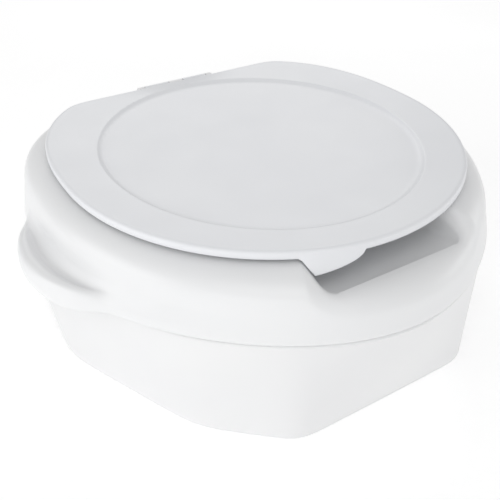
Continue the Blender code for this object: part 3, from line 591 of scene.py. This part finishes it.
def add_tube_x(mesh_data, outline, x_low, x_high):
    """Add a tube along the hinge axis with bevelled rims; outline(turn) is its outer radius."""
    turns = [2.0 * math.pi * step / FINE for step in range(FINE)]
    stations = [(x_low, -TUBE_BEVEL), (x_low + TUBE_BEVEL, 0.0),
                (x_high - TUBE_BEVEL, 0.0), (x_high, -TUBE_BEVEL)]
    rows = [[(x, outline(turn) + inset) for turn in turns] for x, inset in stations]
    rows += [[(x, BORE)] * FINE for x in (x_high, x_low)]
    grid = []
    for row in rows:
        points = [(x, HINGE_Y + reach * math.cos(turn), HINGE_Z + reach * math.sin(turn))
                  for turn, (x, reach) in zip(turns, row)]
        grid.append([mesh_data.verts.new(point) for point in points])
    add_skin(mesh_data, grid)


def seat_frame(degrees, radius):
    """Frame at a spot round the seat: +X points outward from the centre, +Z up."""
    theta = math.radians(degrees)
    return Matrix.Translation(polar(theta, radius, 0.0)) @ Matrix.Rotation(theta - math.pi / 2.0, 4, "Z")


def hexagon(turn):
    """Share of a hexagon's corner radius in a direction."""
    sector = math.pi / 3.0
    return math.cos(sector / 2.0) / math.cos((turn % sector) - sector / 2.0)


# ---------------------------------------------------------------- materials
NOISE_ROUGHNESS = 0.55
NOISE_SPAN = (0.3, 0.7)     # the span in which most noise values lie
HAZE = (-0.015, 0.045)      # how far the roughness of moulded plastic wanders


def add_node(tree, kind, settings=(), inputs=()):
    node = tree.nodes.new(kind)
    for name, value in settings:
        setattr(node, name, value)
    for name, value in inputs:
        node.inputs[name].default_value = value
    return node


def start_material(name):
    material = bpy.data.materials.new(name)
    material.use_nodes = True
    tree = material.node_tree
    spot = add_node(tree, "ShaderNodeTexCoord")
    return material, tree, tree.nodes["Principled BSDF"], spot.outputs["Object"]


def noise_of(tree, vector, scale, detail=3.0):
    noise = add_node(tree, "ShaderNodeTexNoise",
                     inputs=(("Scale", scale), ("Detail", detail), ("Roughness", NOISE_ROUGHNESS)))
    tree.links.new(vector, noise.inputs["Vector"])
    return noise.outputs["Fac"]


def ranged(tree, value, low, high):
    node = add_node(tree, "ShaderNodeMapRange",
                    inputs=(("From Min", NOISE_SPAN[0]), ("From Max", NOISE_SPAN[1]),
                            ("To Min", low), ("To Max", high)))
    tree.links.new(value, node.inputs["Value"])
    return node.outputs["Result"]


def blended(tree, share, first, second):
    node = add_node(tree, "ShaderNodeMix", settings=(("data_type", "RGBA"),))
    node.inputs[6].default_value = (*first, 1.0)
    node.inputs[7].default_value = (*second, 1.0)
    tree.links.new(share, node.inputs[0])
    return node.outputs[2]


def bump_of(tree, height, distance, strength=1.0, onto=None):
    node = add_node(tree, "ShaderNodeBump", inputs=(("Distance", distance), ("Strength", strength)))
    tree.links.new(height, node.inputs["Height"])
    if onto:
        tree.links.new(onto, node.inputs["Normal"])
    return node.outputs["Normal"]


def moulded_plastic(name, light, dark, roughness, grain):
    """White moulded plastic: faint flow shading, uneven gloss, a fine grain and a slight waviness."""
    material, tree, shader, spot = start_material(name)
    flow = noise_of(tree, spot, 9.0, 2.0)
    colour = blended(tree, ranged(tree, flow, 0.0, 1.0), dark, light)
    tree.links.new(colour, shader.inputs["Base Color"])
    haze = noise_of(tree, spot, 26.0, 4.0)
    low, high = HAZE
    tree.links.new(ranged(tree, haze, roughness + low, roughness + high), shader.inputs["Roughness"])
    waves = bump_of(tree, noise_of(tree, spot, 38.0, 1.0), 0.00010, 0.5)
    peel = bump_of(tree, noise_of(tree, spot, 900.0, 2.0), grain, 0.6, waves)
    tree.links.new(peel, shader.inputs["Normal"])
    return material


def rubber(name, light, dark):
    """Matt rubber with a fine speckle and a pitted skin."""
    material, tree, shader, spot = start_material(name)
    speckle = noise_of(tree, spot, 620.0, 5.0)
    tree.links.new(blended(tree, ranged(tree, speckle, 0.0, 1.0), dark, light), shader.inputs["Base Color"])
    tree.links.new(ranged(tree, noise_of(tree, spot, 60.0), 0.62, 0.86), shader.inputs["Roughness"])
    tree.links.new(bump_of(tree, speckle, 0.00022, 0.8), shader.inputs["Normal"])
    return material


def brushed_steel(name):
    """Bright plated steel with fine turning marks."""
    material, tree, shader, spot = start_material(name)
    stretch = add_node(tree, "ShaderNodeMapping", inputs=(("Scale", (40.0, 40.0, 1900.0)),))
    tree.links.new(spot, stretch.inputs["Vector"])
    lines = noise_of(tree, stretch.outputs["Vector"], 1.0, 4.0)
    tree.links.new(blended(tree, ranged(tree, lines, 0.0, 1.0), (0.48, 0.48, 0.49), (0.68, 0.68, 0.69)),
                   shader.inputs["Base Color"])
    tree.links.new(ranged(tree, lines, 0.20, 0.38), shader.inputs["Roughness"])
    tree.links.new(bump_of(tree, lines, 0.00005, 0.4), shader.inputs["Normal"])
    shader.inputs["Metallic"].default_value = 1.0
    return material


# ---------------------------------------------------------------- the two mouldings
def build_shell(material):
    """The shell's visible face, closed by an inner face that lies one wall thickness behind."""
    angles = ring_angles(RING_STEPS)
    faces, plains = zip(*(shell_faces(theta) for theta in angles))
    seen = [[polar(theta, *point) for point in face] for theta, face in zip(angles, faces)]
    guide = [[polar(theta, *point) for point in plain] for theta, plain in zip(angles, plains)]
    last = len(seen[0]) - 1
    rows = []
    for index, theta in enumerate(angles):
        row, after, before = guide[index], guide[(index + 1) % len(guide)], guide[index - 1]
        inner = []
        for spot, point in enumerate(row):
            normal = (after[spot] - before[spot]).cross(row[min(spot + 1, last)] - row[max(spot - 1, 0)])
            if spot in (0, last):
                normal.z = 0.0
            inner.append(point - shell_thickness(theta, spot) * normal.normalized())
        rows.append(seen[index] + inner[::-1])
    add_piece("seat_shell_moulding", skin_ring(rows), material, "shell", ["seat_shell"],
              MOULDING_ANGLE)


def build_shell_ribs(material):
    """The ribs and screw bosses inside the seat shell, which stand on the skirt's ledge."""
    ribs = bmesh.new()
    outer, middle, inner = RIB_INSET
    foot = LEDGE_Z + LEDGE + GAP
    for degrees in RIB_ANGLES:
        outline = shell_outline(math.radians(degrees))
        place = seat_frame(degrees, outline)
        add_rounded_box(ribs, (-inner, -RIB_HALF, foot + GAP), (-middle, RIB_HALF, RIB_TOP), 0.0006, place, 2)
        add_rounded_box(ribs, (-middle, -RIB_HALF, RIB_ARM_Z[0]), (-outer, RIB_HALF, RIB_ARM_Z[1]),
                        0.0006, place, 2)
        add_turned(ribs, [(BOSS, foot), (BOSS, foot + BOSS_HEIGHT - 0.0010),
                          (BOSS - BOSS_ROUND, foot + BOSS_HEIGHT)],
                   FINE, place @ Matrix.Translation((-BOSS_INSET, 0.0, 0.0)))
    for side in (-1.0, 1.0):
        add_turned(ribs, [(BOSS - 0.0006, RIB_TOP), (BOSS, RIB_TOP + 0.0006), (BOSS, CREST_Z - 0.0030)],
                   FINE, Matrix.Translation((side * HINGE_SCREW_X, HINGE_SCREW_Y, 0.0)))
    add_piece("seat_shell_ribs", ribs, material, "shell")


def build_skirt(material):
    """The skirt, with the ledge inside it and the tongue that stands inside the shell."""
    angles = ring_angles(RING_STEPS)
    rows = [[polar(theta, *point) for point in skirt_section(theta)] for theta in angles]
    add_piece("base_skirt_moulding", skin_ring(rows), material, "shell", ["base_skirt"],
              MOULDING_ANGLE)


# ---------------------------------------------------------------- lid and hinge
def build_lid(material):
    """The lid's upper and lower face, each closed in the middle by a fan."""
    angles = [2.0 * math.pi * step / LID_STEPS for step in range(LID_STEPS)]
    mesh_data = bmesh.new()
    rows = []
    for theta in angles:
        section = lid_top(theta) + lid_underside(theta)
        rows.append([mesh_data.verts.new(polar(theta, *point)) for point in section])
    top = mesh_data.verts.new(polar(0.0, 0.0, DISH_EDGE_Z - DISH_DEPTH))
    bottom = mesh_data.verts.new(polar(0.0, 0.0, DISH_EDGE_Z - DISH_DEPTH - LID_WALL))
    for index, row in enumerate(rows):
        following = rows[(index + 1) % len(rows)]
        for spot in range(len(row) - 1):
            mesh_data.faces.new((row[spot], row[spot + 1], following[spot + 1], following[spot]))
        mesh_data.faces.new((top, row[0], following[0]))
        mesh_data.faces.new((bottom, following[-1], row[-1]))
    add_piece("lid_moulding", mesh_data, material, "lid", ["lid"], LID_ANGLE)


def knuckle_outline(turn):
    """Lid knuckle: a round barrel with a tongue that runs forward into the lid's rim."""
    across, up = math.cos(turn), math.sin(turn)
    reach, half_height = KNUCKLE_TONGUE
    if across > -TINY:
        return BARREL
    return max(BARREL, min(reach / -across, half_height / max(abs(up), TINY)))


def ear_outline(turn):
    """Bracket lug: a round barrel with a square foot that stands on the bracket's feet."""
    across, up = math.cos(turn), math.sin(turn)
    if BARREL * up > PLATE_Z[1] - HINGE_Z:
        return BARREL
    return max(min((HINGE_Z - PLATE_Z[0] - 0.0002) / -up, BARREL / max(abs(across), TINY)), BARREL)


def mirrored(span):
    return -span[1], -span[0]


def build_knuckles(material):
    knuckles = bmesh.new()
    for low, high in (KNUCKLE_X, mirrored(KNUCKLE_X)):
        add_tube_x(knuckles, knuckle_outline, low, high)
    add_piece("lid_knuckles", knuckles, material, "lid")


def build_hinge(plastic, steel):
    """The bracket, with a foot plate cut out round the knuckles and three lugs, and the pin."""
    plate = bmesh.new()
    front, middle, back = FOOT_Y
    add_rounded_box(plate, (-FOOT_X, middle - 0.0008, PLATE_Z[0]), (FOOT_X, back, PLATE_Z[1]), 0.0006)
    ear, lug = EAR_X[0] + GAP, CENTRE_LUG_X - GAP
    for low, high in ((-FOOT_X, -ear), (-lug, lug), (ear, FOOT_X)):
        add_rounded_box(plate, (low, front, PLATE_Z[0]), (high, middle + 0.0008, PLATE_Z[1]), 0.0006)
    for low, high in (EAR_X, mirrored(EAR_X), (-CENTRE_LUG_X, CENTRE_LUG_X)):
        add_tube_x(plate, ear_outline, low, high)
    add_piece("hinge_bracket_moulding", plate, plastic, "shell", ["hinge_bracket"])

    pin = bmesh.new()
    along_x = Matrix.Translation((0.0, HINGE_Y, HINGE_Z)) @ Matrix.Rotation(math.pi / 2.0, 4, "Y")
    end = EAR_X[1] + 0.0010
    rounding = [(PIN - 0.0006, end), (PIN - 0.0002, end - 0.0003), (PIN, end - 0.0008)]
    profile = [(radius, -x) for radius, x in rounding] + rounding[::-1]
    add_turned(pin, profile, FINE, along_x)
    add_piece("hinge_pin_rod", pin, steel, "shell", ["hinge_pin"])


def add_screw(mesh_data, place, head_z, up, head, shank, length):
    """Add a pan-head screw with a low hexagon on its head; up is 1.0 where the head is on top."""
    profile = [(shank * 0.5, -length), (shank, -length + 0.0012), (shank, 0.0), (head, 0.0), (head, 0.0004),
               (head * 0.93, 0.0009), (head * 0.80, 0.0013), (head * 0.62, 0.0016)]
    crown = [(head * 0.48, 0.00155), (head * 0.48, 0.0017)]
    add_turned(mesh_data, [(radius, head_z + up * z) for radius, z in profile], FINE, place)
    add_turned(mesh_data, [(radius, head_z + up * z) for radius, z in crown], FINE, place, hexagon)


def build_screws(steel):
    for side, word in ((-1.0, "left"), (1.0, "right")):
        screw = bmesh.new()
        place = Matrix.Translation((side * HINGE_SCREW_X, HINGE_SCREW_Y, 0.0))
        add_screw(screw, place, PLATE_Z[1] + GAP, 1.0, 0.0036, SCREW, 0.0120)
        add_piece(f"hinge_screw_{word}_fine", screw, steel, "shell", [f"hinge_screw_{word}"])
    for number, degrees in enumerate(RIB_ANGLES, start=1):
        screw = bmesh.new()
        place = seat_frame(degrees, shell_outline(math.radians(degrees)) - BOSS_INSET)
        add_screw(screw, place, LEDGE_Z - GAP, -1.0, 0.0037, SCREW, 0.0165)
        add_piece(f"shell_screw_{number}_fine", screw, steel, "shell", [f"shell_screw_{number}"])


def build_buffers(material):
    for word, (degrees, radius) in BUFFER_SPOTS.items():
        node = f"lid_buffer_{word}"
        low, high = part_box(node)
        foot, top = low[2], high[2]
        buffer = bmesh.new()
        profile = [(BUFFER_R * share, foot + rise) for share, rise in BUFFER_SIDE]
        profile += [(BUFFER_R * 0.97, top - 0.0010), (BUFFER_R, top - 0.0006), (BUFFER_R * 0.97, top)]
        add_turned(buffer, profile, FINE, seat_frame(degrees, radius))
        add_piece(f"{node}_fine", buffer, material, "lid", [node])


# ---------------------------------------------------------------- clamps and pads
def build_bracket(word, degrees, material):
    """Clamp bracket: a slotted plate under the ledge and a ribbed leg that presses on the bowl."""
    place = seat_frame(degrees, CLAMP_BOLT_R)
    top = LEDGE_Z - GAP
    half = BRACKET_WIDTH / 2.0
    leg = (BRACKET_LEG, BRACKET_LEG + BRACKET_PLATE)
    bracket = bmesh.new()
    for low, high in ((-half, -SLOT_HALF), (SLOT_HALF, half)):
        add_rounded_box(bracket, (BRACKET_INNER, low, top - BRACKET_PLATE), (SLOT_HALF + 0.0010, high, top),
                        0.0007, place)
        rib = (low + high) / 2.0
        add_rounded_box(bracket, (leg[0] - 0.0050, rib - 0.0010, top - 0.0120),
                        (leg[0] + 0.0008, rib + 0.0010, top - 0.0020), 0.0004, place, 2)
    add_rounded_box(bracket, (SLOT_HALF, -half, top - BRACKET_PLATE), (leg[1], half, top), 0.0007, place)
    add_rounded_box(bracket, (leg[0], -half, top - BRACKET_DROP), (leg[1], half, top), 0.0007, place)
    node = f"clamp_bracket_{word}"
    add_piece(f"{node}_moulding", bracket, material, f"clamp_{word}", [node])


def build_clamp_face(word, degrees, material):
    """Rubber face of a clamp, with upright ridges on the side that meets the bowl."""
    place = seat_frame(degrees, CLAMP_BOLT_R)
    top = LEDGE_Z - GAP
    half = BRACKET_WIDTH / 2.0 - 0.0020
    start = BRACKET_LEG + BRACKET_PLATE + GAP
    face = bmesh.new()
    add_rounded_box(face, (start, -half, top - BRACKET_DROP + 0.0020),
                    (start + FACE_BASE, half, top - 0.0060), 0.0005, place)
    for number in range(FACE_RIDGES):
        middle = mix(-half + 0.0018, half - 0.0018, number / (FACE_RIDGES - 1))
        add_rounded_box(face, (start + 0.0010, middle - 0.0008, top - BRACKET_DROP + 0.0034),
                        (start + FACE_DEPTH, middle + 0.0008, top - 0.0074), 0.0006, place)
    node = f"clamp_face_{word}"
    add_piece(f"{node}_ridged", face, material, f"clamp_{word}", [node])


def build_bolt(word, degrees, material):
    place = seat_frame(degrees, CLAMP_BOLT_R)
    low = LEDGE_Z - GAP - BRACKET_PLATE - KNOB_HEIGHT + 0.0020
    head = LEDGE_Z + LEDGE + GAP
    bolt = bmesh.new()
    add_turned(bolt, [(BOLT - 0.0006, low), (BOLT, low + 0.0008), (BOLT, head + 0.0010)], FINE, place)
    crown = head + BOLT_HEAD_HEIGHT
    add_turned(bolt, [(BOLT_HEAD - 0.0004, head), (BOLT_HEAD, head + 0.0005),
                      (BOLT_HEAD, crown - 0.0009), (BOLT_HEAD - 0.0006, crown)], FINE, place, hexagon)
    node = f"clamp_bolt_{word}"
    add_piece(f"{node}_fine", bolt, material, "shell", [node])


def build_knob(word, degrees, material):
    """Lobed hand knob with rounded edges and a collar that bears on the bracket."""
    top = LEDGE_Z - GAP - BRACKET_PLATE - GAP
    place = seat_frame(degrees, CLAMP_BOLT_R) @ Matrix.Translation((0.0, 0.0, top))

    def lobes(turn):
        return 1.0 - KNOB_LOBE_DEPTH * (0.5 - 0.5 * math.cos(KNOB_LOBES * turn))

    knob = bmesh.new()
    low, foot = -KNOB_COLLAR_HEIGHT, -KNOB_HEIGHT
    add_turned(knob, [(KNOB_COLLAR - 0.0004, low), (KNOB_COLLAR, low + 0.0004),
                      (KNOB_COLLAR, -0.0004), (KNOB_COLLAR - 0.0004, 0.0)], FINE, place)
    add_turned(knob, [(KNOB_R - 0.0014, foot), (KNOB_R - 0.0006, foot + 0.0003), (KNOB_R, foot + 0.0012),
                      (KNOB_R, low - 0.0014), (KNOB_R - 0.0005, low - 0.0005), (KNOB_R - 0.0014, low)],
               2 * FINE, place, lobes)
    node = f"clamp_knob_{word}"
    add_piece(f"{node}_moulding", knob, material, f"knob_{word}", [node])


def build_rim_pads(material):
    """Rubber pads under the ledge, with ridges that grip the bowl's rim."""
    half_long, half_short = (side / 2.0 for side in RIM_PAD_SIZE)
    top = LEDGE_Z - GAP
    low = top - PAD_THICKNESS
    for word, (degrees, radius) in RIM_PADS.items():
        place = seat_frame(degrees, radius)
        pad = bmesh.new()
        add_rounded_box(pad, (-half_short, -half_long, top - PAD_THICKNESS * PAD_BASE),
                        (half_short, half_long, top), 0.0008, place)
        for number in range(PAD_RIDGES):
            middle = mix(-half_short + 0.0030, half_short - 0.0030, number / (PAD_RIDGES - 1))
            add_rounded_box(pad, (middle - PAD_RIDGE_HALF, -half_long + 0.0020, low),
                            (middle + PAD_RIDGE_HALF, half_long - 0.0020, top - PAD_THICKNESS / 2.0),
                            0.0008, place)
        add_piece(f"rim_pad_{word}_ridged", pad, material, "shell", [f"rim_pad_{word}"])


# ---------------------------------------------------------------- studio
def build_camera():
    turn, tilt = CAMERA_AZIMUTH, CAMERA_ELEVATION
    right = Vector((math.cos(turn), math.sin(turn), 0.0))
    back = Vector((math.sin(turn) * math.cos(tilt), -math.cos(turn) * math.cos(tilt), math.sin(tilt)))
    up = back.cross(right)
    target = Vector((0.0, CENTRE_Y, LID_RIM_Z))
    place = target - CAMERA_SLIDE[0] * right - CAMERA_SLIDE[1] * up + CAMERA_DISTANCE * back
    data = bpy.data.cameras.new("photo_camera")
    data.lens = LENS
    data.sensor_width = SENSOR
    camera = bpy.data.objects.new("photo_camera", data)
    bpy.context.scene.collection.objects.link(camera)
    camera.matrix_world = Matrix.Translation(place) @ Matrix((right, up, back)).transposed().to_4x4()
    bpy.context.scene.camera = camera


def build_floor():
    floor = bmesh.new()
    square = ((-FLOOR_REACH, -FLOOR_REACH), (FLOOR_REACH, -FLOOR_REACH),
              (FLOOR_REACH, FLOOR_REACH), (-FLOOR_REACH, FLOOR_REACH))
    floor.faces.new([floor.verts.new((x, y, -FLOOR_GAP)) for x, y in square])
    mesh = bpy.data.meshes.new("studio_floor")
    floor.to_mesh(mesh)
    floor.free()
    material, tree, shader, spot = start_material("studio_paper")
    share = ranged(tree, noise_of(tree, spot, 3.0), 0.0, 1.0)
    tone = blended(tree, share, (0.93, 0.93, 0.93), (0.95, 0.95, 0.95))
    tree.links.new(tone, shader.inputs["Base Color"])
    shader.inputs["Roughness"].default_value = 0.9
    shader.inputs["Specular IOR Level"].default_value = 0.1
    shader.inputs["Emission Color"].default_value = (1.0, 1.0, 1.0, 1.0)
    shader.inputs["Emission Strength"].default_value = PAPER_GLOW
    mesh.materials.append(material)
    made = bpy.data.objects.new("studio_floor", mesh)
    bpy.context.scene.collection.objects.link(made)


def add_softbox(name, place, size, power):
    """Add a soft rectangular light that points at the middle of the seat."""
    data = bpy.data.lights.new(name, "AREA")
    data.shape = "RECTANGLE"
    data.size, data.size_y = size
    data.energy = power
    light = bpy.data.objects.new(name, data)
    light.location = place
    light.rotation_euler = (LIGHT_AIM - Vector(place)).to_track_quat("-Z", "Y").to_euler()
    bpy.context.scene.collection.objects.link(light)


def build_light():
    world = bpy.data.worlds.new("studio")
    world.use_nodes = True
    sky = world.node_tree.nodes["Background"]
    sky.inputs["Color"].default_value = (1.0, 1.0, 1.0, 1.0)
    sky.inputs["Strength"].default_value = SKY_STRENGTH
    bpy.context.scene.world = world
    add_softbox("key_back", (0.70, 1.40, 1.15), (1.3, 0.9), 6.5)
    add_softbox("top_front", (-0.50, -0.95, 1.35), (1.3, 0.9), 5.4)
    add_softbox("front_fill", (-1.05, -1.30, 0.42), (1.4, 0.6), 3.2)
    add_softbox("left_fill", (-1.55, 0.25, 0.55), (1.3, 0.9), 6.3)
    add_softbox("right_fill", (1.50, -0.50, 0.45), (1.2, 0.6), 3.6)
    bpy.context.scene.view_settings.view_transform = "Standard"


# ---------------------------------------------------------------- everything
def main():
    build_camera()
    # the light and the dark colour, the roughness, and the height of the grain
    shell_plastic = moulded_plastic("shell_plastic", (0.82, 0.825, 0.83), (0.80, 0.805, 0.815), 0.30, 12e-6)
    skirt_plastic = moulded_plastic("skirt_plastic", (0.82, 0.822, 0.825), (0.80, 0.802, 0.81), 0.34, 14e-6)
    lid_plastic = moulded_plastic("lid_plastic", (0.80, 0.81, 0.83), (0.78, 0.79, 0.815), 0.36, 16e-6)
    hinge_plastic = moulded_plastic("hinge_plastic", (0.84, 0.84, 0.845), (0.82, 0.82, 0.825), 0.34, 14e-6)
    clamp_plastic = moulded_plastic("clamp_plastic", (0.78, 0.78, 0.76), (0.74, 0.74, 0.72), 0.46, 40e-6)
    pad_rubber = rubber("pad_rubber", (0.16, 0.16, 0.165), (0.10, 0.10, 0.105))
    buffer_rubber = rubber("buffer_rubber", (0.72, 0.72, 0.71), (0.64, 0.64, 0.63))
    steel = brushed_steel("plated_steel")

    build_shell(shell_plastic)
    build_shell_ribs(shell_plastic)
    build_skirt(skirt_plastic)
    build_lid(lid_plastic)
    build_knuckles(lid_plastic)
    build_hinge(hinge_plastic, steel)
    build_screws(steel)
    build_buffers(buffer_rubber)
    for word, degrees in CLAMP_ANGLES.items():
        build_bracket(word, degrees, clamp_plastic)
        build_clamp_face(word, degrees, pad_rubber)
        build_bolt(word, degrees, steel)
        build_knob(word, degrees, clamp_plastic)
    build_rim_pads(pad_rubber)
    build_floor()
    build_light()


main()
